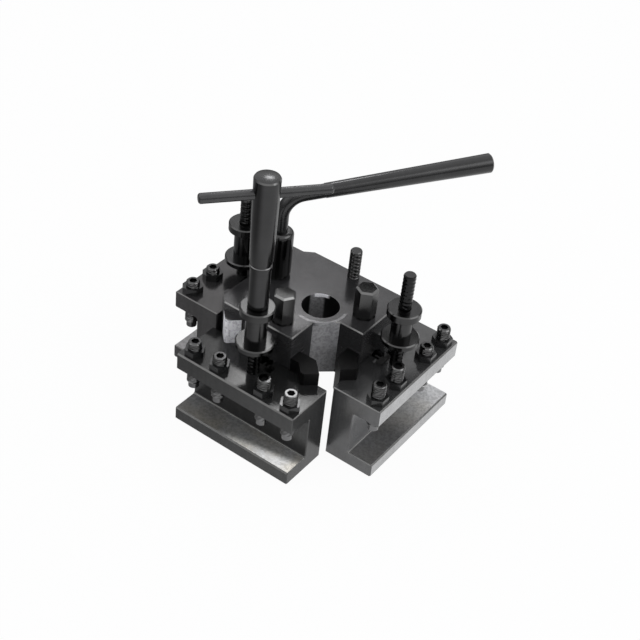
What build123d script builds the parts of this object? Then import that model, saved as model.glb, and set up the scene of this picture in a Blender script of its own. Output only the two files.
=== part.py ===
from build123d import *
import os
from math import cos, radians, sin, sqrt

# Quick change lathe tool post with three tool holders, millimetres.
# Origin: the axis of the clamping stud at the body's underside. +Z is up,
# the front holder is on -Y, the right one on +X and the left one on -X.

# Post body
body_height = 45.0
body_right = 40.0
body_left = 58.0
body_front = 42.0
body_back = 49.0
stud_bore_r = 13.5
corner_cut_front = 6.0
corner_cut_back_x = 10.5
corner_cut_back_run = 7.0
corner_cut_back_y = 5.0
corner_cut_right = 3.0
body_edge = 0.8
pick_tolerance = 0.01

# Open corner between the front and the right station
relief_x = 6.9
relief_y = 5.5
relief_flat_end_x = 20.7
relief_flat_end_y = 18.2
relief_cap_r = 19.5
relief_cap_thickness = 3.0
arm_thickness = 10.0
arm_end_front = 31.5
arm_end_right = 29.5
arm_drop = 17.0

# Stations: centre of each working face along its own edge
front_station_x = -10.5
right_station_y = 13.5
left_station_y = 9.0

# Vee ways and the matching grooves
way_half_spacing = 33.0
way_height = 7.0
way_tip = 3.0
way_drop = 7.0
way_clearance = 0.05
way_tip_clearance = 0.6
face_gap = 0.4

# Tool holders
holder_length = 100.0
holder_depth = 38.5
holder_height = 61.0
top_flange = 14.0
bottom_flange = 11.0
holder_web = 18.0
slot_root_r = 1.5
holder_edge = 1.0
holder_end_edge = 0.6
holder_drop = 43.0
left_holder_raise = 12.0

# Cam spindle and draw bolt
spindle_inset = 12.5
spindle_r = 8.0
spindle_hex_across = 14.0
spindle_hex_height = 23.0
spindle_top_chamfer = 1.2
spindle_neck_r = 7.0
spindle_neck_height = 1.0
cam_r = 5.0
cam_offset = 1.5
cam_swing = 70.0
cam_floor = 3.0
cam_room = 0.5
journal_lift = 1.0
bolt_height = 10.0
plunger_r = 8.0
plunger_front = 2.0
plunger_back = 22.0
plunger_room = 1.0
shank_r = 5.2
head_width = 20.0
head_height = 10.0
head_thickness = 5.0
head_corner_r = 2.0
running_clearance = 0.05
slot_play = 0.3
throat_clearance = 0.3
tee_lip = 5.0
tee_play = 0.4

# Screw that keeps each spindle down
keeper_height = 24.0
keeper_r = 3.0
keeper_dog_r = 1.9
keeper_recess = 0.6
keeper_socket_across = 3.0
keeper_socket_depth = 2.0
groove_depth = 2.0
groove_clearance = 0.3

# Rest lug, height stud and height nut
lug_width = 10.0
lug_reach = 10.0
lug_top = 41.0
lug_drop_right = 2.5
lug_height = 12.0
height_stud_r = 4.5
height_stud_inset = 17.6
height_stud_top = 95.0
height_stud_depth = 12.0
stud_end_chamfer = 0.8
nut_lower_r = 13.5
nut_lower_thickness = 4.5
nut_upper_r = 12.0
nut_upper_thickness = 6.5
nut_neck_r = 7.5
nut_flange_pitch = 27.0
nut_flange_pitch_right = 22.0
nut_edge = 0.8
nut_seat_gap = 0.05

# Clamp screws and their lock nuts
screw_r = 5.0
screw_length = 40.0
screw_row_inset = 8.5
screw_inner = 19.0
screw_outer = 41.0
screw_dog_r = 3.8
screw_dog_length = 5.0
screw_socket_across = 5.0
screw_socket_depth = 6.0
screw_rim = 0.8
lock_nut_across = 13.0
lock_nut_height = 5.0
front_screw_stands = (11.0, 10.5, 13.0, 13.0)
right_screw_stands = (15.0, 17.0, 11.0, 14.0)
left_screw_stands = (12.0, 10.0, 9.0, 9.0)

# Stud on top of the body by its back edge
back_stud_x = -3.0
back_stud_y = 44.0
back_stud_r = 4.5
back_stud_height = 23.0
back_stud_depth = 14.0

# Tee wrench that stands over the front height stud
wrench_gap = 0.1
wrench_socket_r = 7.0
wrench_grip_r = 9.25
wrench_shoulder = 112.0
wrench_taper = 3.0
wrench_top = 175.0
wrench_dome = 1.5
wrench_hex_across = 10.0
wrench_hex_depth = 23.0
bar_r = 3.4
bar_length = 85.0
bar_height = 162.0
bar_edge = 1.7
bar_angle = 51.5

# Cranked lever on the left spindle
hub_r = 9.75
hub_lift = 3.0
hub_height = 35.0
hub_round = 3.5
hub_hex_clearance = 0.05
rod_r = 5.0
rod_bend_r = 16.0
rod_rise = 26.5
lever_reach_x = 89.0
lever_reach_y = 126.0
lever_rise = 10.5
grip_length = 124.5
grip_inner_r = 5.3
grip_outer_r = 7.1
grip_edge = 1.0
grip_neck_edge = 0.3


def station_plane(x, y, along):
    """Seen from outside the station, X runs to the right, Y into the body and Z up."""
    return Plane(origin=(x, y, 0), x_dir=along, z_dir=(0, 0, 1))


def shifted(plane, x=0.0, y=0.0, z=0.0):
    origin = plane.origin + plane.x_dir * x + plane.y_dir * y + plane.z_dir * z
    return Plane(origin=origin, x_dir=plane.x_dir, z_dir=plane.z_dir)


def outward(plane, x=0.0, y=0.0, z=0.0):
    """Plane that faces out of the station: X to the right, Y up."""
    origin = plane.origin + plane.x_dir * x + plane.y_dir * y + plane.z_dir * z
    return Plane(origin=origin, x_dir=plane.x_dir, z_dir=-plane.y_dir)


def save(part, name):
    part.label = name
    export_step(part, f"parts/{name}.step")


os.makedirs("parts", exist_ok=True)

front = station_plane(front_station_x, -body_front, (1, 0, 0))
right = station_plane(body_right, right_station_y, (0, 1, 0))
left = station_plane(-body_left, left_station_y, (0, -1, 0))
stations = {"front": front, "right": right, "left": left}
holder_floor = {
    "front": -holder_drop,
    "right": -holder_drop,
    "left": -holder_drop + left_holder_raise,
}
screw_stands = {
    "front": front_screw_stands,
    "right": right_screw_stands,
    "left": left_screw_stands,
}
lug_tops = {
    "front": lug_top,
    "right": lug_top - lug_drop_right,
    "left": lug_top,
}
nut_pitches = {
    "front": nut_flange_pitch,
    "right": nut_flange_pitch_right,
    "left": nut_flange_pitch,
}
arm_top = body_height - arm_drop
way_top = body_height - way_drop
way_root = way_tip / 2 + way_height
hub_floor = body_height + hub_lift
groove_r = spindle_r - groove_depth
head_back = face_gap + tee_lip
tee_depth = tee_lip + head_thickness + 2 * cam_offset * sin(radians(cam_swing / 2)) + tee_play
print("draw bolt stroke", round(2 * cam_offset * sin(radians(cam_swing / 2)), 3), "mm")

# Post body
with BuildPart() as tool_post_body:
    with BuildSketch(Plane.XY):
        with BuildLine():
            Polyline(
                (-body_left, -body_front + corner_cut_front),
                (-body_left + corner_cut_front, -body_front),
                (relief_x, -body_front),
                (relief_x, -relief_flat_end_y),
                (relief_flat_end_x, -relief_y),
                (body_right, -relief_y),
                (body_right, body_back - corner_cut_right),
                (body_right - corner_cut_right, body_back),
                (-body_left + corner_cut_back_x + corner_cut_back_run, body_back),
                (-body_left + corner_cut_back_x, body_back - corner_cut_back_y),
                (-body_left, body_back - corner_cut_back_y),
                close=True,
            )
        make_face()
    extrude(amount=body_height)
    chamfer(tool_post_body.faces().sort_by(Axis.Z)[-1].edges(), body_edge)
    with BuildSketch(Plane.XY.offset(body_height - relief_cap_thickness)):
        Circle(relief_cap_r)
    extrude(amount=relief_cap_thickness)
    with BuildSketch(Plane.XY):
        with BuildLine():
            Polyline(
                (relief_x - arm_thickness, -body_front),
                (arm_end_front, -body_front),
                (arm_end_front - arm_thickness, -body_front + arm_thickness),
                (relief_x - arm_thickness, -body_front + arm_thickness),
                close=True,
            )
        make_face()
        with BuildLine():
            Polyline(
                (body_right, -arm_end_right),
                (body_right, arm_thickness - relief_y),
                (body_right - arm_thickness, arm_thickness - relief_y),
                (body_right - arm_thickness, arm_thickness - arm_end_right),
                close=True,
            )
        make_face()
    extrude(amount=arm_top)
    for name, place in stations.items():
        for side in (-1, 1):
            on_arm = (name == "front" and side == 1) or (name == "right" and side == -1)
            with BuildSketch(shifted(place, x=side * way_half_spacing)):
                with BuildLine():
                    Polyline(
                        (-way_root, 0),
                        (-way_tip / 2, -way_height),
                        (way_tip / 2, -way_height),
                        (way_root, 0),
                        (way_root - body_edge, body_edge),
                        (body_edge - way_root, body_edge),
                        close=True,
                    )
                make_face()
            extrude(amount=arm_top if on_arm else way_top)
    # The corners trim the outer vee ways of the right and left stations.
    with BuildSketch(Plane.XY):
        with Locations((0, body_back + way_root)):
            Rectangle(2 * (body_left + body_right), 2 * way_root)
        with Locations((-body_left - way_height, body_back - corner_cut_back_y + way_root)):
            Rectangle(2 * way_height, 2 * way_root)
    extrude(amount=body_height, mode=Mode.SUBTRACT)
    with BuildSketch(Plane.XY):
        Circle(stud_bore_r)
    extrude(amount=body_height, mode=Mode.SUBTRACT)
    for place in stations.values():
        with BuildSketch(outward(place, y=plunger_back + plunger_room, z=bolt_height)):
            Circle(plunger_r + running_clearance)
        extrude(amount=plunger_back + plunger_room, mode=Mode.SUBTRACT)
        with BuildSketch(shifted(place, y=spindle_inset, z=cam_floor - cam_room)):
            Circle(spindle_r + running_clearance)
        extrude(amount=body_height + cam_room - cam_floor, mode=Mode.SUBTRACT)
        with BuildSketch(outward(place, y=spindle_inset, z=keeper_height)):
            Circle(keeper_r)
        extrude(amount=spindle_inset, mode=Mode.SUBTRACT)
    with BuildSketch(Plane.XY.offset(body_height - back_stud_depth)):
        with Locations((back_stud_x, back_stud_y)):
            Circle(back_stud_r)
    extrude(amount=back_stud_depth, mode=Mode.SUBTRACT)
save(tool_post_body.part, "tool_post_body")

# Blocks on which the height nuts rest
with BuildPart() as rest_lugs:
    for name, place in stations.items():
        with BuildSketch(outward(place, z=lug_tops[name] - lug_height / 2)):
            Rectangle(lug_width, lug_height)
        extrude(amount=lug_reach)
save(rest_lugs.part, "rest_lugs")

with BuildPart() as back_stud:
    with BuildSketch(Plane.XY.offset(body_height - back_stud_depth)):
        with Locations((back_stud_x, back_stud_y)):
            Circle(back_stud_r)
    extrude(amount=back_stud_depth + back_stud_height)
    chamfer(back_stud.faces().sort_by(Axis.Z)[-1].edges(), stud_end_chamfer)
save(back_stud.part, "back_stud")

# One keeper screw for each spindle
with BuildPart() as keeper_screws:
    for place in stations.values():
        shank_length = spindle_inset - spindle_r - keeper_recess - groove_clearance
        dog_length = groove_depth - groove_clearance
        with BuildSketch(outward(place, y=keeper_recess + shank_length, z=keeper_height)):
            Circle(keeper_r)
        extrude(amount=shank_length)
        with BuildSketch(outward(place, y=keeper_recess + shank_length, z=keeper_height)):
            Circle(keeper_dog_r)
        extrude(amount=-dog_length)
        with BuildSketch(outward(place, y=keeper_recess + keeper_socket_depth, z=keeper_height)):
            RegularPolygon(keeper_socket_across / 2, 6, major_radius=False)
        extrude(amount=keeper_socket_depth, mode=Mode.SUBTRACT)
save(keeper_screws.part, "keeper_screws")


# Cam spindle: hexagon, journal with the keeper groove, and the cam below
def make_spindle(place):
    centre = shifted(place, y=spindle_inset)
    journal_floor = bolt_height + plunger_r + journal_lift
    half_swing = radians(cam_swing / 2)
    with BuildPart() as spindle:
        with BuildSketch(shifted(centre, z=journal_floor)):
            Circle(spindle_r)
        extrude(amount=body_height - journal_floor)
        with BuildSketch(shifted(centre, z=body_height)):
            Circle(spindle_neck_r)
        extrude(amount=spindle_neck_height)
        with BuildSketch(shifted(centre, z=body_height + spindle_neck_height)):
            RegularPolygon(spindle_hex_across / 2, 6, major_radius=False)
        extrude(amount=spindle_hex_height - spindle_neck_height)
        with BuildSketch(shifted(centre, z=keeper_height - keeper_dog_r - groove_clearance)):
            Circle(spindle_r)
            Circle(groove_r, mode=Mode.SUBTRACT)
        extrude(amount=2 * (keeper_dog_r + groove_clearance), mode=Mode.SUBTRACT)
        # At rest the cam holds the bolt in, half a swing before the sideways position.
        cam = shifted(
            centre,
            x=-cam_offset * cos(half_swing),
            y=cam_offset * sin(half_swing),
            z=cam_floor,
        )
        with BuildSketch(cam):
            Circle(cam_r)
        extrude(amount=journal_floor - cam_floor)
        chamfer(spindle.faces().sort_by(Axis.Z)[-1].edges(), spindle_top_chamfer)
    return spindle.part


# Draw bolt: plunger with a slotted cross hole, shank and tee head
def make_draw_bolt(place):
    half_swing = radians(cam_swing / 2)
    with BuildPart() as draw_bolt:
        with BuildSketch(outward(place, y=plunger_back, z=bolt_height)):
            Circle(plunger_r)
        extrude(amount=plunger_back - plunger_front)
        with BuildSketch(outward(place, y=plunger_front, z=bolt_height)):
            Circle(shank_r)
        extrude(amount=plunger_front + head_back)
        with BuildSketch(outward(place, y=-head_back, z=bolt_height)):
            RectangleRounded(head_width, head_height, head_corner_r)
        extrude(amount=head_thickness)
        with BuildSketch(
            shifted(
                place,
                x=-cam_offset * (1 + cos(half_swing)) / 2,
                y=spindle_inset + cam_offset * sin(half_swing),
                z=bolt_height - plunger_r,
            )
        ):
            SlotOverall(
                2 * (cam_r + running_clearance + slot_play),
                2 * (cam_r + running_clearance),
            )
        extrude(amount=2 * plunger_r, mode=Mode.SUBTRACT)
    return draw_bolt.part


# Tool holder: channel for the tool, vee grooves and tee slot in its back
def make_holder(place, floor):
    inner = -face_gap
    outer = inner - holder_depth
    slot_root = inner - holder_web
    middle = Plane(
        origin=shifted(place, z=floor).origin,
        x_dir=place.y_dir,
        z_dir=place.x_dir,
    )
    with BuildPart() as holder:
        with BuildSketch(middle) as profile:
            with BuildLine():
                Polyline(
                    (inner, 0),
                    (inner, holder_height),
                    (outer, holder_height),
                    (outer, holder_height - top_flange),
                    (slot_root, holder_height - top_flange),
                    (slot_root, bottom_flange),
                    (outer, bottom_flange),
                    (outer, 0),
                    close=True,
                )
            make_face()
            roots = [v for v in profile.vertices() if abs(v.X - slot_root) < pick_tolerance]
            fillet(roots, slot_root_r)
            corners = [v for v in profile.vertices() if abs(v.X - outer) < pick_tolerance]
            chamfer(corners, holder_edge)
        extrude(amount=holder_length / 2, both=True)
        ends = holder.faces().filter_by(Plane(origin=place.origin, z_dir=place.x_dir))
        chamfer(ends.edges(), holder_end_edge)
        for side in (-1, 1):
            tip_v = -way_height - way_tip_clearance
            slack = way_clearance * sqrt(2)
            with BuildSketch(shifted(place, x=side * way_half_spacing, z=floor)):
                with BuildLine():
                    Polyline(
                        (-way_root - slack, 0),
                        (-way_root - slack - tip_v, tip_v),
                        (way_root + slack + tip_v, tip_v),
                        (way_root + slack, 0),
                        close=True,
                    )
                make_face()
            extrude(amount=holder_height, mode=Mode.SUBTRACT)
        with BuildSketch(shifted(place, z=floor)):
            with Locations((0, -head_back / 2)):
                Rectangle(2 * (shank_r + throat_clearance), head_back)
            with Locations((0, -head_back - (tee_depth - tee_lip) / 2)):
                Rectangle(head_width + 2 * throat_clearance, tee_depth - tee_lip)
        extrude(amount=holder_height, mode=Mode.SUBTRACT)
        with BuildSketch(shifted(place, z=floor + holder_height - top_flange)):
            for x in (-screw_outer, -screw_inner, screw_inner, screw_outer):
                with Locations((x, outer + screw_row_inset)):
                    Circle(screw_r + running_clearance)
        extrude(amount=top_flange, mode=Mode.SUBTRACT)
        with BuildSketch(shifted(place, z=floor + holder_height - height_stud_depth)):
            with Locations((0, -height_stud_inset - face_gap)):
                Circle(height_stud_r)
        extrude(amount=height_stud_depth, mode=Mode.SUBTRACT)
    return holder.part


def make_height_stud(place, floor):
    foot = floor + holder_height - height_stud_depth
    with BuildPart() as stud:
        with BuildSketch(shifted(place, y=-height_stud_inset - face_gap, z=foot)):
            Circle(height_stud_r)
        extrude(amount=height_stud_top - foot)
        chamfer(stud.faces().sort_by(Axis.Z)[-1].edges(), stud_end_chamfer)
    return stud.part


# Height nut: a spool whose lower flange rests on the body's lug
def make_height_nut(place, nut_floor, pitch):
    axis_y = -height_stud_inset - face_gap
    side_view = Plane(
        origin=shifted(place, y=axis_y).origin,
        x_dir=place.x_dir,
        z_dir=-place.y_dir,
    )
    hole = height_stud_r + running_clearance
    upper_floor = nut_floor + pitch
    nut_top = upper_floor + nut_upper_thickness
    with BuildPart() as nut:
        with BuildSketch(side_view) as section:
            with BuildLine():
                Polyline(
                    (hole, nut_floor),
                    (nut_lower_r, nut_floor),
                    (nut_lower_r, nut_floor + nut_lower_thickness),
                    (nut_neck_r, nut_floor + nut_lower_thickness),
                    (nut_neck_r, upper_floor),
                    (nut_upper_r, upper_floor),
                    (nut_upper_r, nut_top),
                    (hole, nut_top),
                    close=True,
                )
            make_face()
            rims = [v for v in section.vertices() if v.X > nut_neck_r + nut_edge]
            chamfer(rims, nut_edge)
        revolve(axis=Axis(origin=side_view.origin, direction=(0, 0, 1)))
    return nut.part


def make_clamp_screw(place, x, top):
    y = -face_gap - holder_depth + screw_row_inset
    with BuildPart() as screw:
        with BuildSketch(shifted(place, x=x, y=y, z=top - screw_length)):
            Circle(screw_dog_r)
        extrude(amount=screw_dog_length)
        with BuildSketch(shifted(place, x=x, y=y, z=top - screw_length + screw_dog_length)):
            Circle(screw_r)
        extrude(amount=screw_length - screw_dog_length)
        chamfer(screw.faces().sort_by(Axis.Z)[-1].edges(), screw_rim)
        with BuildSketch(shifted(place, x=x, y=y, z=top - screw_socket_depth)):
            RegularPolygon(screw_socket_across / 2, 6, major_radius=False)
        extrude(amount=screw_socket_depth, mode=Mode.SUBTRACT)
    return screw.part


# Four lock nuts of one holder
def make_lock_nuts(place, floor):
    y = -face_gap - holder_depth + screw_row_inset
    top = floor + holder_height
    with BuildPart() as nuts:
        for x in (-screw_outer, -screw_inner, screw_inner, screw_outer):
            with BuildSketch(shifted(place, x=x, y=y, z=top)):
                RegularPolygon(lock_nut_across / 2, 6, major_radius=False)
                Circle(screw_r + running_clearance, mode=Mode.SUBTRACT)
            extrude(amount=lock_nut_height)
    return nuts.part


for name, place in stations.items():
    floor = holder_floor[name]
    save(make_spindle(place), f"cam_spindle_{name}")
    save(make_draw_bolt(place), f"draw_bolt_{name}")
    save(make_holder(place, floor), f"tool_holder_{name}")
    save(make_height_stud(place, floor), f"height_stud_{name}")
    nut_floor = lug_tops[name] + nut_seat_gap
    save(make_height_nut(place, nut_floor, nut_pitches[name]), f"height_nut_{name}")
    save(make_lock_nuts(place, floor), f"lock_nuts_{name}")
    rows = zip((-screw_outer, -screw_inner, screw_inner, screw_outer), screw_stands[name])
    for number, (x, stand) in enumerate(rows, start=1):
        screw = make_clamp_screw(place, x, floor + holder_height + stand)
        save(screw, f"clamp_screw_{name}_{number}")

# Tee wrench: stem with a hexagon socket, and the sliding bar
front_nut_top = lug_top + nut_seat_gap + nut_flange_pitch + nut_upper_thickness
wrench_foot = front_nut_top + wrench_gap
wrench_axis = shifted(front, y=-height_stud_inset - face_gap)
bar_plane = Plane(
    origin=shifted(wrench_axis, z=bar_height).origin,
    x_dir=(0, 0, 1),
    z_dir=(cos(radians(bar_angle)), sin(radians(bar_angle)), 0),
)
with BuildPart() as wrench_stem:
    with BuildSketch(outward(wrench_axis)):
        with BuildLine():
            Polyline(
                (0, wrench_foot),
                (wrench_socket_r, wrench_foot),
                (wrench_socket_r, wrench_shoulder - wrench_taper),
                (wrench_grip_r, wrench_shoulder),
                (wrench_grip_r, wrench_top - wrench_dome),
                (wrench_grip_r - wrench_dome, wrench_top - wrench_dome / 2),
                (0, wrench_top),
                close=True,
            )
        make_face()
    revolve(axis=Axis(origin=wrench_axis.origin, direction=(0, 0, 1)))
    with BuildSketch(shifted(wrench_axis, z=wrench_foot)):
        RegularPolygon(wrench_hex_across / 2, 6, major_radius=False)
    extrude(amount=wrench_hex_depth, mode=Mode.SUBTRACT)
    with BuildSketch(bar_plane):
        Circle(bar_r + running_clearance)
    extrude(amount=2 * wrench_grip_r, both=True, mode=Mode.SUBTRACT)
save(wrench_stem.part, "wrench_stem")

with BuildPart() as wrench_bar:
    with BuildSketch(bar_plane):
        Circle(bar_r)
    extrude(amount=bar_length / 2, both=True)
    fillet(wrench_bar.edges().filter_by(GeomType.CIRCLE), bar_edge)
save(wrench_bar.part, "wrench_bar")

# Cranked lever: hub on the hexagon, bent rod and tapered grip
lever_axis = shifted(left, y=spindle_inset)
lever_x = lever_axis.origin.X
lever_y = lever_axis.origin.Y
hex_top = body_height + spindle_hex_height
hub_top = hub_floor + hub_height
crank = Vector(lever_x, lever_y, hub_top + rod_rise)
lever_end = crank + Vector(lever_reach_x, lever_reach_y, lever_rise)
arm_direction = (lever_end - crank).normalized()
grip_from = lever_end - arm_direction * grip_length
with BuildPart() as lever_hub:
    with BuildSketch(shifted(lever_axis, z=hub_floor)):
        Circle(hub_r)
    extrude(amount=hub_height)
    fillet(lever_hub.faces().sort_by(Axis.Z)[-1].edges(), hub_round)
    with BuildSketch(shifted(lever_axis, z=hub_floor)):
        RegularPolygon(spindle_hex_across / 2 + hub_hex_clearance, 6, major_radius=False)
    extrude(amount=hex_top + nut_seat_gap - hub_floor, mode=Mode.SUBTRACT)
save(lever_hub.part, "lever_hub")

with BuildPart() as lever_rod:
    with BuildLine() as route:
        FilletPolyline(
            (lever_x, lever_y, hub_top),
            (crank.X, crank.Y, crank.Z),
            (grip_from.X, grip_from.Y, grip_from.Z),
            radius=rod_bend_r,
        )
    with BuildSketch(shifted(lever_axis, z=hub_top)):
        Circle(rod_r)
    sweep(path=route.line)
save(lever_rod.part, "lever_rod")

grip_plane = Plane(origin=grip_from, z_dir=arm_direction)
with BuildPart() as lever_grip:
    with BuildSketch(grip_plane):
        Circle(grip_inner_r)
    with BuildSketch(grip_plane.offset(grip_length)):
        Circle(grip_outer_r)
    loft()
    rims = lever_grip.edges().filter_by(GeomType.CIRCLE).sort_by(SortBy.RADIUS)
    chamfer(rims[0], grip_neck_edge)
    chamfer(rims[-1], grip_edge)
save(lever_grip.part, "lever_grip")
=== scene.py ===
import bpy
import bmesh
from math import atan2, cos, pi, radians, sin
from mathutils import Matrix, Vector


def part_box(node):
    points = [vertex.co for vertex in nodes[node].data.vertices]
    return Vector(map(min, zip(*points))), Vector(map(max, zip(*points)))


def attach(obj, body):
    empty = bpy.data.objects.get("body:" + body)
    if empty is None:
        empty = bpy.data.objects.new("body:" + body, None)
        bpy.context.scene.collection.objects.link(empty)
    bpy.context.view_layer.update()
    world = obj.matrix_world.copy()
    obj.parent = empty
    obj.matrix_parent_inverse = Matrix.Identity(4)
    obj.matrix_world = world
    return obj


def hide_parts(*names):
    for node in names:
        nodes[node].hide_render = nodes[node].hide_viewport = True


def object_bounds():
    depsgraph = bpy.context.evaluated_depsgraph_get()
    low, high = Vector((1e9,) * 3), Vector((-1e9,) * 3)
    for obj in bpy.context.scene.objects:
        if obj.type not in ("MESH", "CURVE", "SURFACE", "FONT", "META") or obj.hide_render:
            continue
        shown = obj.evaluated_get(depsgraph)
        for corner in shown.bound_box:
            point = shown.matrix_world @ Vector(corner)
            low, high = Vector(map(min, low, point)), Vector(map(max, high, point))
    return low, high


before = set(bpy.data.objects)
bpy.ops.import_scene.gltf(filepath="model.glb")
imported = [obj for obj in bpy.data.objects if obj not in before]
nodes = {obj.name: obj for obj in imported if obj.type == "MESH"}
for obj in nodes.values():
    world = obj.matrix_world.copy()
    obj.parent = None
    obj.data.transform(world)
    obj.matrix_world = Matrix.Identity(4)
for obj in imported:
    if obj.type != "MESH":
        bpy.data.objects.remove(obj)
bpy.ops.object.select_all(action="DESELECT")
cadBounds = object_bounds()
print("frame loaded:", len(nodes), "nodes")

mm = 0.001
stations = ("front", "right", "left")


def boxMiddle(name):
    low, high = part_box(name)
    return (low + high) / 2


# shader maths: a socket that can be added, multiplied and compared
class Flow:
    def __init__(self, tree, socket=None):
        self.tree = tree
        self.socket = socket

    def node(self, kind, settings=None, values=None, output=0):
        made = self.tree.nodes.new("ShaderNode" + kind)
        for key, value in (settings or {}).items():
            setattr(made, key, value)
        for key, value in (values or {}).items():
            if isinstance(value, Flow):
                self.tree.links.new(value.socket, made.inputs[key])
            else:
                made.inputs[key].default_value = value
        return Flow(self.tree, made.outputs[output])

    # leads this socket into a new node
    def into(self, kind):
        made = self.tree.nodes.new("ShaderNode" + kind)
        self.tree.links.new(self.socket, made.inputs[0])
        return made

    def split(self):
        return [Flow(self.tree, part) for part in self.into("SeparateXYZ").outputs]

    def maths(self, operation, *values):
        return self.node("Math", {"operation": operation}, dict(enumerate(values)))

    def __add__(self, other):
        return self.maths("ADD", self, other)

    def __radd__(self, other):
        return self.maths("ADD", other, self)

    def __sub__(self, other):
        return self.maths("SUBTRACT", self, other)

    def __rsub__(self, other):
        return self.maths("SUBTRACT", other, self)

    def __mul__(self, other):
        return self.maths("MULTIPLY", self, other)

    def __rmul__(self, other):
        return self.maths("MULTIPLY", other, self)

    def __neg__(self):
        return 0 - self

    def __abs__(self):
        return self.maths("ABSOLUTE", self)

    def root(self):
        return self.maths("SQRT", self)

    def most(self, other):
        return self.maths("MAXIMUM", self, other)

    # climbs softly from 0 to 1 between two values
    def rise(self, low, high):
        return self.node("MapRange", {"interpolation_type": "SMOOTHSTEP"}, {0: self, 1: low, 2: high})

    # the same, with the two values in millimetres
    def riseMm(self, low, high):
        return self.rise(low * mm, high * mm)

    # between two colours, with this socket as the share of the second; 6 and 7 take colours
    def blend(self, first, second):
        return self.node("Mix", {"data_type": "RGBA"}, {0: self, 6: first, 7: second}, 2)

    # the same between two shaders
    def blendShaders(self, first, second):
        return self.node("MixShader", values={0: self, 1: first, 2: second})

    # a grey level turned into a colour
    def tinted(self, tint):
        return self.node("CombineColor", values={part: self * tint[part] for part in range(3)})


def emptyFlow(holder):
    holder.use_nodes = True
    holder.node_tree.nodes.clear()
    return Flow(holder.node_tree)


def tone(level, tint=(1, 1, 1)):
    return (level * tint[0], level * tint[1], level * tint[2], 1)


# a steel material with its place, seen from a middle, and the way its faces look
def startSteel(name, middle=(0, 0, 0)):
    material = bpy.data.materials.new(name)
    flow = emptyFlow(material)
    place = flow.node("TexCoord", output="Object")
    facing = flow.node("TexCoord", output="Normal")
    centred = flow.node("Mapping", {"vector_type": "TEXTURE"}, {"Vector": place, "Location": middle})
    return material, flow, centred, facing


# every noise: lumps for each metre along x, y and z, and its detail
noises = {
    "clouds": ((38, 38, 38), 4),
    "mottle": ((260, 260, 260), 3),
    "upright": ((420, 420, 14), 3),
    "speckle": ((520, 520, 520), 4, 0.7),
    "stain": ((30, 30, 30), 3),
    "rings": ((2600, 1, 2600), 2),
    "broad": ((420, 1, 300), 2),
    "turnedClouds": ((90, 90, 60), 4),
}
fineDetail = 2


def lumps(flow, place, scale, detail, rough=0.55):
    stretched = flow.node("Mapping", values={"Vector": place, "Scale": scale})
    return flow.node("TexNoise", values={
        "Vector": stretched, "Scale": 1.0, "Detail": detail, "Roughness": rough,
    })


# a base plus each pattern times its weight
def weigh(weights, patterns):
    total = weights["base"]
    for name, weight in weights.items():
        if name != "base":
            total = total + patterns[name] * weight
    return total


bumpDistance = 0.2 * mm
coatRoughness = 0.12


def finishSteel(material, flow, look, color, roughness, bump, metallic):
    raised = flow.node("Bump", values={"Height": bump, "Strength": look["bump"], "Distance": bumpDistance})
    shader = flow.node("BsdfPrincipled", values={
        "Base Color": color, "Metallic": metallic, "Roughness": roughness, "Normal": raised,
        "Coat Weight": look["coat"], "Coat Roughness": coatRoughness,
    })
    shader.into("OutputMaterial")
    return material


# how squarely a face looks along an axis before it counts as facing that way
squareOn = (0.8, 0.95)
bevelled = (0.12, 0.3)
standing = (0.5, 0.8)

# how the patterns on the black pieces add up, and how much some places change
oxideMix = {
    "patches": {"base": 0.58, "clouds": 0.44, "mottle": 0.36},
    "ground": {"base": 0.4, "clouds": 0.35, "upright": 0.25, "mottle": 0.3},
    "wornAndHighlit": {"base": 0.45, "mottle": 0.9},
    "bump": {"base": 0.0, "fine": 0.5, "mottle": 0.4, "upright": 0.4},
    "roughness": {"base": -0.09, "clouds": 0.1, "fine": 0.08, "beside": 0.08, "bareAndPaintedHighlight": 0.2, "shaded": 0.25},
    "shade": 0.92,
    "speckleSpan": (0.38, 0.6),
    "stainSpan": (0.35, 0.65),
    "wornAndHighlitTint": (1, 0.99, 0.97),
    "stainTint": (1, 0.93, 0.8),
    "metallic": 0.75,
}
turnedMix = {
    "patches": {"base": 0.65, "clouds": 0.5, "broad": 0.2},
    "bump": {"base": 0.0, "fine": 0.6, "broad": 0.3},
    "roughness": {"base": -0.11, "clouds": 0.12, "fine": 0.1},
    "chamfer": (0.25, 0.45),
    "tipFade": 1,
}
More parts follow.
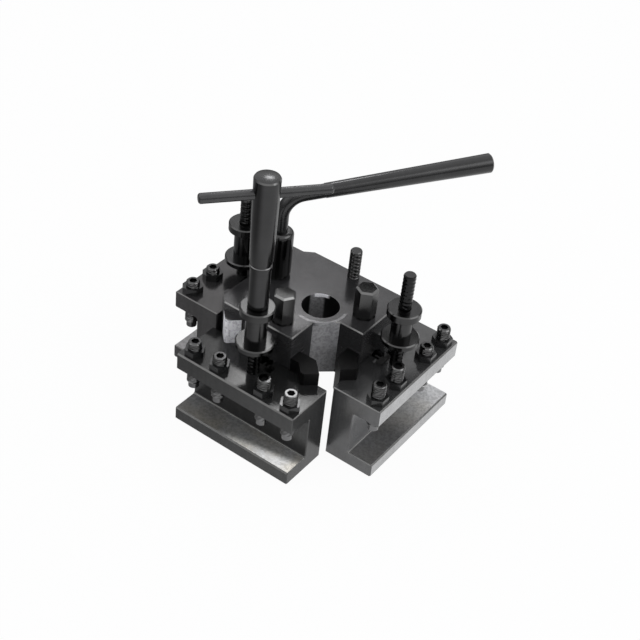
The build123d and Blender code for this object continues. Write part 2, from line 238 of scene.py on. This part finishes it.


# black oxide on ground and milled faces; slanted edge faces are brighter, partly ground bare and partly a
# painted highlight
def blackFaces(name, look):
    material, flow, place, facing = startSteel(name)
    spot = place.split()
    normal = facing.split()
    nx, ny, nz = normal
    onTop = nz.rise(*squareOn)
    beside = 1 - onTop
    upright = lumps(flow, place, *noises["upright"])
    bareAndPaintedHighlight, bareAndHighlightLevel = look["bareAndPaintedHighlight"](spot, normal)
    shaded = look["shaded"](spot, normal)
    patterns = {
        "clouds": lumps(flow, place, *noises["clouds"]),
        "mottle": lumps(flow, place, *noises["mottle"]),
        "fine": lumps(flow, place, look["grain"], fineDetail),
        "upright": upright * beside,
        "beside": beside,
        "bareAndPaintedHighlight": bareAndPaintedHighlight,
        "shaded": shaded,
    }
    # faces turned to +x and to -y get their own levels: painted light and shade for how the light falls on
    # each side
    otherSides, paintedLightFacingX, paintedLightFacingMinusY = look["sides"]
    level = onTop * look["top"] + beside * otherSides
    level = level + nx.rise(*squareOn) * (paintedLightFacingX - otherSides)
    level = level + (-ny).rise(*squareOn) * (paintedLightFacingMinusY - otherSides)
    streaks = 1 + (upright - 0.5) * beside * look["streaks"]
    level = level * weigh(oxideMix["patches"], patterns) * streaks
    level = level * (1 - shaded * oxideMix["shade"])
    speckle = lumps(flow, place, *noises["speckle"]).rise(*oxideMix["speckleSpan"])
    ground = weigh(oxideMix["ground"], patterns) + speckle * look["speckle"]
    # bare steel and painted highlights take their own level here
    level = level * (1 - bareAndPaintedHighlight) + bareAndPaintedHighlight * bareAndHighlightLevel * ground
    stain = lumps(flow, place, *noises["stain"]).rise(*oxideMix["stainSpan"]) * bareAndPaintedHighlight * look["stain"]
    dark = stain.blend(level.tinted(look["tint"]), level.tinted(oxideMix["stainTint"]))
    # edges and bevels are painted brighter: partly real wear, partly a painted highlight where light catches
    # them
    edge = (abs(nx * nz) + abs(ny * nz)).rise(*bevelled)
    wornAndHighlit = edge * look["edge"] * weigh(oxideMix["wornAndHighlit"], patterns)
    color = wornAndHighlit.blend(dark, tone(look["bright"], oxideMix["wornAndHighlitTint"]))
    roughness = look["roughness"] + weigh(oxideMix["roughness"], patterns)
    bump = weigh(oxideMix["bump"], patterns)
    # bare ground steel scatters light more than the oxide does
    metallic = oxideMix["metallic"] * (1 - bareAndPaintedHighlight * look["bareScatter"])
    return finishSteel(material, flow, look, color, roughness, bump, metallic)


# turned steel: rings on the ends, fine lines round the sides
def turnedFaces(name, look, middle):
    material, flow, place, facing = startSteel(name, middle)
    x, y, z = place.split()
    steep = abs(facing.split()[2])
    rings = flow.node("CombineXYZ", values={"X": (x * x + y * y).root(), "Y": 0.0, "Z": z})
    patterns = {
        "fine": lumps(flow, rings, *noises["rings"]),
        "broad": lumps(flow, rings, *noises["broad"]),
        "clouds": lumps(flow, place, *noises["turnedClouds"]),
    }
    flat = steep.rise(*squareOn)
    edge = steep.rise(*turnedMix["chamfer"]) * (1 - flat)
    level = flat * look["end"] + (1 - flat) * look["side"]
    level = level * weigh(turnedMix["patches"], patterns)
    if "tip" in look:
        # the screws' lower ends are painted lighter: a painted highlight
        tip = (-z).riseMm(look["tip"] - turnedMix["tipFade"], look["tip"])
        level = level + tip * (1 - flat) * look["tipHighlightLevel"]
    # chamfers are painted brighter: partly real wear, partly a painted highlight
    color = (edge * look["edge"]).blend(level.tinted(look["tint"]), tone(look["bright"]))
    roughness = look["roughness"] + weigh(turnedMix["roughness"], patterns)
    bump = weigh(turnedMix["bump"], patterns)
    return finishSteel(material, flow, look, color, roughness, bump, 1.0)


def bareNowhere(place, facing):
    return place[2] * 0, 0.5


def shadedNowhere(place, facing):
    return place[2] * 0


# places on the body, in millimetres: a pair is where a patch starts to fade in and where it is full
flankBareAndReflection = {"forward": (42.3, 42.8), "leftward": (30, 32), "brighter": 0.33}
cornerFlat = {
    "diagonal": (0.3, 0.4), "rightward": (0.2, 0.5),
    "back": (-40, -35), "right": (22, 23), "share": 0.6,
}
boreRimHighlight = {
    "radius": (13.6, 13.8), "aim": (-0.53, 0.85), "farSide": (12, 13),
    "height": (41.8, 42.8), "brighter": 0.7,
}
capRimHighlight = {
    "inner": (17.2, 17.8), "outer": (19.6, 19.8),
    "height": (44.5, 44.8), "corner": (12, 16), "share": 0.35,
}
rightArm = {"rightward": (20.9, 21.5), "forward": (6, 7)}
frontArm = {"rightward": (7.0, 7.3), "forward": (31, 32), "top": (28.2, 28.6)}
bodyBareAndHighlightLevel = 0.45


# 1 inside the stud's bore and 0 outside it
def insideBore(x, y):
    return 1 - (x * x + y * y).root().riseMm(*boreRimHighlight["radius"])


# bare steel and painted highlights on the body: a flank of the front way, bare steel painted brighter as a
# reflection; the flat of the open corner, bare; and two rims, painted highlights
def bodyBareAndPaintedHighlights(place, facing):
    x, y, z = place
    nx, ny, nz = facing
    # the flank is bare ground steel with a painted reflection on it
    bareFlankAndReflection = (-y).riseMm(*flankBareAndReflection["forward"]) * (-x).riseMm(*flankBareAndReflection["leftward"])
    bareFlankAndReflection = bareFlankAndReflection * (1 - abs(nz).rise(*standing))
    flat = (-(nx * ny)).rise(*cornerFlat["diagonal"]) * nx.rise(*cornerFlat["rightward"])
    flat = flat * y.riseMm(*cornerFlat["back"]) * (1 - x.riseMm(*cornerFlat["right"]))
    aimX, aimY = boreRimHighlight["aim"]
    # the far rim of the bore is a painted highlight
    rim = (x * aimX + y * aimY).riseMm(*boreRimHighlight["farSide"]) * z.riseMm(*boreRimHighlight["height"])
    rim = rim * insideBore(x, y)
    # a band round the cap is a painted highlight
    reach = (x * x + y * y).root()
    capHighlight = reach.riseMm(*capRimHighlight["inner"]) * (1 - reach.riseMm(*capRimHighlight["outer"]))
    capHighlight = capHighlight * z.riseMm(*capRimHighlight["height"]) * (x - y).riseMm(*capRimHighlight["corner"])
    share = bareFlankAndReflection.most(flat * cornerFlat["share"]).most(rim).most(capHighlight * capRimHighlight["share"])
    return share, bodyBareAndHighlightLevel + bareFlankAndReflection * flankBareAndReflection["brighter"] + rim * boreRimHighlight["brighter"]


# the arms of the open corner and the wall of the bore stand in the dark
def bodyShaded(place, facing):
    x, y, z = place
    right = x.riseMm(*rightArm["rightward"]) * (-y).riseMm(*rightArm["forward"])
    front = x.riseMm(*frontArm["rightward"]) * (-y).riseMm(*frontArm["forward"])
    front = front * (1 - z.riseMm(*frontArm["top"]))
    bore = insideBore(x, y) * (1 - abs(facing[2]).rise(*standing))
    return right.most(front).most(bore)


# the tool seats: their heights, how bright they are from where to where, and a wedge of painted reflection
# on the front seat
seats = {
    "front": {"height": -32, "dark": 0.19, "brighter": 0.1, "span": (-60, 20)},
    "right": {"height": -32, "dark": 0.15, "brighter": 0.52, "span": (-5, 52)},
    "left": {"height": -20, "dark": 0.35},
}
seatEdge = (2, 4)  # how high over a seat the bare steel ends
frontSeatReflection = {"start": (-22, -80.9), "slope": 0.18, "width": (-5, 3), "span": (-32, 12), "strength": 1.3}


def frontSeat(x, y):
    seat = seats["front"]
    startX, startY = frontSeatReflection["start"]
    # a widening wedge of painted reflection towards the open corner
    wedge = (x - startX * mm) * frontSeatReflection["slope"] - (y - startY * mm)
    paintedReflection = wedge.riseMm(*frontSeatReflection["width"]) * x.riseMm(*frontSeatReflection["span"]) * frontSeatReflection["strength"]
    return seat["dark"] + x.riseMm(*seat["span"]) * seat["brighter"] + paintedReflection


def rightSeat(x, y):
    seat = seats["right"]
    return seat["dark"] + y.riseMm(*seat["span"]) * seat["brighter"]


def leftSeat(x, y):
    return seats["left"]["dark"]


# the tool's seat is bare ground steel, with a painted reflection on the front seat
def seatBareAndReflection(station, brightness):
    low, high = seatEdge
    height = seats[station]["height"]

    def bareAndPaintedHighlight(place, facing):
        x, y, z = place
        onSeat = facing[2].rise(*squareOn) * (1 - z.riseMm(height + low, height + high))
        return onSeat, brightness(x, y)
    return bareAndPaintedHighlight


# what the looks of the black pieces share; the sides are the plain ones, then those facing +x and -y, whose
# own levels are painted light and shade
alongY = (2200, 90, 2200)
alongX = (90, 2200, 2200)
oxideLook = {
    "grain": alongY, "tint": (1, 1, 1), "bump": 0.07, "coat": 0.0, "speckle": 0.25, "stain": 0.0,
    "bareAndPaintedHighlight": bareNowhere, "bareScatter": 0.7, "shaded": shadedNowhere,
}
bodyLook = {
    **oxideLook, "top": 0.092, "sides": (0.13, 0.11, 0.09), "tint": (1, 0.985, 1.01), "bright": 0.3,
    "edge": 0.6, "roughness": 0.17, "bump": 0.08, "streaks": 0.6,
    "bareAndPaintedHighlight": bodyBareAndPaintedHighlights, "bareScatter": 0.95, "shaded": bodyShaded, "speckle": 0.5,
}
holderLooks = {
    "front": {
        **oxideLook, "top": 0.06, "sides": (0.085, 0.07, 0.068), "bright": 0.22, "edge": 0.5,
        "roughness": 0.16, "grain": alongX, "streaks": 0.5,
        "bareAndPaintedHighlight": seatBareAndReflection("front", frontSeat), "bareScatter": 0.85, "stain": 0.8,
    },
    "right": {
        # the faces turned to +x are painted much lighter: painted light from the right
        **oxideLook, "top": 0.12, "sides": (0.12, 0.42, 0.13), "tint": (1, 1, 1.01), "bright": 0.35,
        "edge": 0.4, "roughness": 0.16, "streaks": 0.35, "bareAndPaintedHighlight": seatBareAndReflection("right", rightSeat), "stain": 0.4,
    },
    "left": {
        **oxideLook, "top": 0.09, "sides": (0.09, 0.08, 0.1), "tint": (1.02, 0.99, 1), "bright": 0.2,
        "edge": 0.5, "roughness": 0.16, "streaks": 0.5, "bareAndPaintedHighlight": seatBareAndReflection("left", leftSeat),
    },
}
blackLook = {
    **oxideLook, "top": 0.05, "sides": (0.035, 0.035, 0.035), "tint": (1, 1, 1.02), "bright": 0.12,
    "edge": 0.3, "roughness": 0.18, "bump": 0.08, "grain": (300, 300, 300), "streaks": 0.2, "coat": 0.3,
}
lugLook = {**blackLook, "top": 0.09, "sides": (0.07, 0.07, 0.07)}
barLook = {**blackLook, "top": 0.09, "sides": (0.06, 0.06, 0.06), "edge": 0.0}
rodLook = {**blackLook, "edge": 0.0}

nutLook = {
    "end": 0.06, "side": 0.05, "tint": (1, 1, 1.01), "bright": 0.12, "edge": 0.35,
    "roughness": 0.2, "bump": 0.05, "coat": 0.15,
}
spindleLook = {
    "end": 0.06, "side": 0.085, "tint": (1, 1, 1), "bright": 0.3, "edge": 0.5,
    "roughness": 0.18, "bump": 0.08, "coat": 0.0,
}
screwLook = {
    "end": 0.08, "side": 0.035, "tint": (1, 1, 1.02), "bright": 0.22, "edge": 0.5,
    "roughness": 0.17, "bump": 0.06, "coat": 0.3, "tip": 11, "tipHighlightLevel": 0.13,
}
studLook = {
    "end": 0.06, "side": 0.022, "tint": (1, 1, 1.02), "bright": 0.22, "edge": 0.3,
    "roughness": 0.17, "bump": 0.06, "coat": 0.1,
}
wrenchLook = {
    "end": 0.07, "side": 0.05, "tint": (1, 1, 1.02), "bright": 0.25, "edge": 0.5,
    "roughness": 0.2, "bump": 0.07, "coat": 0.15,
}
hubLook = {
    "end": 0.06, "side": 0.025, "tint": (1, 1, 1.02), "bright": 0.12, "edge": 0.4,
    "roughness": 0.2, "bump": 0.06, "coat": 0.35,
}


def dress(name, material):
    mesh = nodes[name].data
    mesh.materials.clear()
    mesh.materials.append(material)


def dressTurned(node, materialName, look):
    dress(node, turnedFaces(materialName, look, boxMiddle(node)))


dress("tool_post_body", blackFaces("blackBody", bodyLook))
for station, look in holderLooks.items():
    dress(f"tool_holder_{station}", blackFaces(f"holderSteel-{station}", look))
    dressTurned(f"height_nut_{station}", f"turnedNut-{station}", nutLook)
    dressTurned(f"cam_spindle_{station}", f"spindleSteel-{station}", spindleLook)
    dressTurned(f"draw_bolt_{station}", f"boltSteel-{station}", spindleLook)
    dress(f"lock_nuts_{station}", blackFaces(f"lockNutSteel-{station}", blackLook))
dress("rest_lugs", blackFaces("lugSteel", lugLook))
dress("keeper_screws", blackFaces("keeperSteel", blackLook))
dress("wrench_bar", blackFaces("barSteel", barLook))
dressTurned("lever_hub", "hubSteel", hubLook)
dress("lever_rod", blackFaces("rodSteel", rodLook))
dress("lever_grip", blackFaces("gripSteel", rodLook))
print("CAD nodes dressed")

# screws and studs with real threads, all in millimetres
screwShape = {
    "radius": 5.0, "pitch": 1.5, "depth": 0.55, "sides": 36, "rim": 0.9,
    "dog": 5.0, "dogRadius": 3.8, "threadFrom": 5.5, "socketAcross": 5.0, "socketDepth": 3.0,
}
studShape = {"radius": 4.5, "pitch": 1.25, "depth": 0.45, "sides": 30, "rim": 0.8, "threadFrom": 0.5}
cutsPerPitch = 4
smoothBelow = radians(28)


# selects the edges or faces that a test picks, in edit mode
def pick(obj, mode, wanted):
    bpy.ops.mesh.select_mode(type=mode)
    bpy.ops.mesh.select_all(action="DESELECT")
    shape = bmesh.from_edit_mesh(obj.data)
    for part in shape.edges if mode == "EDGE" else shape.faces:
        part.select_set(wanted(part))
    bmesh.update_edit_mesh(obj.data)


def makeActive(obj):
    bpy.ops.object.select_all(action="DESELECT")
    obj.select_set(True)
    bpy.context.view_layer.objects.active = obj


# a node's middle seen from above, its foot and its top, in millimetres
def barEnds(node):
    low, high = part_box(node)
    return ((low.x + high.x) / 2 / mm, (low.y + high.y) / 2 / mm), low.z / mm, high.z / mm


# a round bar standing on its foot, with its place in the mesh
def addBar(name, spot, sides, radius, foot, top):
    bpy.ops.mesh.primitive_cylinder_add(
        vertices=sides, radius=radius * mm, depth=(top - foot) * mm,
        location=(spot[0] * mm, spot[1] * mm, (foot + top) / 2 * mm))
    bar = bpy.context.object
    bar.name = name
    bpy.ops.object.transform_apply(location=True, rotation=True, scale=True)
    bpy.ops.object.mode_set(mode="EDIT")
    return bar


# stands in a node's place and is threaded from a height up
def addThreadedBar(name, node, shape, threadFrom):
    (x, y), foot, top = barEnds(node)
    radius, pitch = shape["radius"], shape["pitch"]
    bar = addBar(name, (x, y), shape["sides"], radius, foot, top)
    pick(bar, "EDGE", lambda edge: abs(edge.verts[0].co.z - edge.verts[1].co.z) > 1 * mm)
    bpy.ops.mesh.subdivide(number_cuts=int((top - foot) / pitch * cutsPerPitch))
    bpy.ops.object.mode_set(mode="OBJECT")
    for vertex in bar.data.vertices:
        dx = vertex.co.x / mm - x
        dy = vertex.co.y / mm - y
        height = vertex.co.z / mm
        turn = atan2(dy, dx) / (2 * pi)
        saw = (height / pitch - turn) % 1.0
        cut = shape["depth"] * (1 - abs(2 * saw - 1))
        if not threadFrom < height < top:
            cut = 0.0
        # the top is turned down to a short cone, and a screw's foot to a plain dog point
        cut = max(cut, shape["rim"] - (top - height))
        if "dog" in shape and height < foot + shape["dog"]:
            cut = radius - shape["dogRadius"]
        scale = (radius - cut) / radius
        vertex.co.x = (x + dx * scale) * mm
        vertex.co.y = (y + dy * scale) * mm
    return bar


def cutBy(bar, cutter):
    makeActive(bar)
    hole = bar.modifiers.new("hole", "BOOLEAN")
    hole.operation = "DIFFERENCE"
    hole.object = cutter
    bpy.ops.object.modifier_apply(modifier=hole.name)
    bpy.data.objects.remove(cutter, do_unlink=True)


# a hexagon socket that goes in from the height of the bar's end
def cutSocket(bar, spot, shape, end):
    corner = shape["socketAcross"] / 2 / cos(pi / 6)
    bpy.ops.mesh.primitive_cylinder_add(
        vertices=6, radius=corner * mm, depth=shape["socketDepth"] * 2 * mm,
        location=(spot[0] * mm, spot[1] * mm, end * mm))
    cutBy(bar, bpy.context.object)


def finishBar(bar, material, body, node):
    makeActive(bar)
    bpy.ops.object.shade_smooth_by_angle(angle=smoothBelow)
    bar.data.materials.clear()
    bar.data.materials.append(material)
    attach(bar, body)
    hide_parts(node)


def addScrew(station, number):
    node = f"clamp_screw_{station}_{number}"
    name = f"threadedScrew_{station}_{number}"
    spot, foot, top = barEnds(node)
    bar = addThreadedBar(name, node, screwShape, foot + screwShape["threadFrom"])
    cutSocket(bar, spot, screwShape, top)
    material = turnedFaces(f"screwSteel-{station}-{number}", screwLook, boxMiddle(node))
    finishBar(bar, material, f"screw_{station}_{number}", node)


# a stud is threaded above the piece that it stands in
def addStud(ending, node, foundation, body):
    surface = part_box(foundation)[1].z / mm
    bar = addThreadedBar(f"threadedStud_{ending}", node, studShape, surface + studShape["threadFrom"])
    material = turnedFaces(f"studSteel-{ending}", studLook, boxMiddle(node))
    finishBar(bar, material, body, node)


for station in stations:
    for number in range(1, 5):
        addScrew(station, number)
    addStud(station, f"height_stud_{station}", f"tool_holder_{station}", f"holder_{station}")
addStud("back", "back_stud", "tool_post_body", "post")
print("threaded screws and studs made")

# the wrench's stem: socket end, collar and a slim tapered grip, its rings as height over the foot and radius
stemShape = {
    "sides": 48,
    "rings": ((0.0, 6.4), (0.7, 7.0), (31.6, 7.0), (32.0, 7.5), (34.0, 7.5), (34.4, 7.05), (35.6, 7.05),
              (37.6, 7.9), (60.0, 8.2), (98.4, 8.75), (99.5, 8.1), (100.1, 6.0)),
    "socketAcross": 10.0, "socketDepth": 23.0,
    "holeRadius": 3.45, "holeLength": 40, "holeTurn": radians(-38.5),
}


def resizeRing(factor, spot, height):
    middle = (spot[0] * mm, spot[1] * mm, height * mm)
    bpy.ops.transform.resize(value=(factor, factor, 1), center_override=middle)


def addWrenchStem(spot, foot, shape):
    footRing, firstRing, *otherRings = shape["rings"]
    rise, radius = firstRing
    stem = addBar("wrenchStem", spot, shape["sides"], radius, foot, foot + rise)
    pick(stem, "FACE", lambda face: face.normal.z < -0.9)
    resizeRing(footRing[1] / radius, spot, foot)
    pick(stem, "FACE", lambda face: face.normal.z > 0.9)
    for height, wide in otherRings:
        bpy.ops.mesh.extrude_region_move(TRANSFORM_OT_translate={"value": (0, 0, (height - rise) * mm)})
        resizeRing(wide / radius, spot, foot + height)
        rise, radius = height, wide
    bpy.ops.object.mode_set(mode="OBJECT")
    return stem


spot, foot, top = barEnds("wrench_stem")
stem = addWrenchStem(spot, foot, stemShape)
cutSocket(stem, spot, stemShape, foot)
bpy.ops.mesh.primitive_cylinder_add(
    vertices=stemShape["sides"], radius=stemShape["holeRadius"] * mm, depth=stemShape["holeLength"] * mm,
    location=boxMiddle("wrench_bar"), rotation=(pi / 2, 0, stemShape["holeTurn"]))
cutBy(stem, bpy.context.object)
material = turnedFaces("wrenchSteel", wrenchLook, boxMiddle("wrench_stem"))
finishBar(stem, material, "wrench", "wrench_stem")
print("wrench stem made")

# floor, white background and what the steel mirrors of both
studio = {
    "floorSize": 12,
    "floorColor": (0.92, 0.92, 0.92, 1),
    "floorGlow": 0.95,
    "mirroredFloor": (0.28, 0.95),
    "floorSpan": (-0.16, 0.12),
    "skyColor": (0.95, 0.97, 1, 1),
    "skyStrength": 0.75,
    "mirroredSky": (0.24, 0.95),
    "skySpan": (0.1, 0.55),
}
white = (1, 1, 1, 1)


# from dim to bright as a socket climbs through a span
def fade(socket, levels, span):
    dim, bright = levels
    return dim + (bright - dim) * socket.rise(*span)


def rays(flow):
    return flow.node("LightPath", output="Is Camera Ray"), flow.node("LightPath", output="Is Glossy Ray")


bpy.ops.mesh.primitive_plane_add(size=studio["floorSize"], location=(0, 0, cadBounds[0].z))
floor = bpy.context.object
floor.name = "floor"
material = bpy.data.materials.new("paleFloor")
flow = emptyFlow(material)
camera, glossy = rays(flow)
paint = flow.node("BsdfDiffuse", values={"Color": studio["floorColor"]})
glow = flow.node("Emission", values={"Color": white})
# in reflections the floor glows dimmer towards -x: painted shade on that side of the floor
floorX = flow.node("TexCoord", output="Object").split()[0]
mirrored = fade(floorX, studio["mirroredFloor"], studio["floorSpan"])
mirroredGlowShadedLeft = flow.node("Emission", values={"Color": white, "Strength": mirrored})
share = camera.most(glossy) * studio["floorGlow"]
share.blendShaders(paint, glossy.blendShaders(glow, mirroredGlowShadedLeft)).into("OutputMaterial")
floor.data.materials.append(material)

world = bpy.data.worlds.new("studioSky")
bpy.context.scene.world = world
flow = emptyFlow(world)
camera, glossy = rays(flow)
aimZ = flow.node("TexCoord", output="Generated").split()[2]
seen = flow.node("Background", values={"Color": white, "Strength": 1.0})
mirrored = fade(aimZ, studio["mirroredSky"], studio["skySpan"])
mirroredSky = flow.node("Background", values={"Color": white, "Strength": mirrored})
lit = flow.node("Background", values={"Color": studio["skyColor"], "Strength": studio["skyStrength"]})
camera.blendShaders(glossy.blendShaders(lit, mirroredSky), seen).into("OutputWorld")

lamps = {
    "keyLamp": {"place": (0.9, 0.3, 0.8), "target": (0, 0, 0), "size": (0.9, 0.7), "power": 3.0},
    "fillLamp": {"place": (-0.7, -0.5, 0.9), "target": (0, 0, 0), "size": (0.8, 0.8), "power": 1.0},
    "backLamp": {
        "place": (-0.4, 0.54, 0.71), "target": (0.02, -0.07, 0.018), "size": (0.12, 0.12), "power": 0.35,
    },
}


def addSoftbox(name, look):
    bpy.ops.object.light_add(type="AREA", location=look["place"])
    lamp = bpy.context.object
    lamp.name = name
    lamp.data.shape = "RECTANGLE"
    lamp.data.size, lamp.data.size_y = look["size"]
    lamp.data.energy = look["power"]
    direction = Vector(look["target"]) - Vector(look["place"])
    lamp.rotation_euler = direction.to_track_quat("-Z", "Y").to_euler()


for name, look in lamps.items():
    addSoftbox(name, look)
print("floor and lights set")

# camera at the photograph's angle, turned a little about its own axis
photoView = {
    "azimuth": 31.97,
    "elevation": 38.73,
    "roll": 6.7,
    "distance": 908.1,
    "target": (-3.7, 7.2, 25.9),
    "lens": 72.1,
    "sensor": 36,
    "clip": (0.01, 50),
}
azimuth = radians(photoView["azimuth"])
elevation = radians(photoView["elevation"])
roll = radians(photoView["roll"])
back = Vector((sin(azimuth) * cos(elevation), -cos(azimuth) * cos(elevation), sin(elevation)))
level = Vector((cos(azimuth), sin(azimuth), 0))
upward = back.cross(level)
sideways = cos(roll) * level + sin(roll) * upward
over = -sin(roll) * level + cos(roll) * upward
eye = Vector(photoView["target"]) * mm + back * photoView["distance"] * mm
bpy.ops.object.camera_add()
camera = bpy.context.object
camera.name = "photoCamera"
camera.matrix_world = Matrix((
    (sideways.x, over.x, back.x, eye.x),
    (sideways.y, over.y, back.y, eye.y),
    (sideways.z, over.z, back.z, eye.z),
    (0, 0, 0, 1),
))
camera.data.lens = photoView["lens"]
camera.data.sensor_width = photoView["sensor"]
camera.data.clip_start, camera.data.clip_end = photoView["clip"]
bpy.context.scene.camera = camera
bpy.context.scene.view_settings.view_transform = "Standard"
print("camera set")
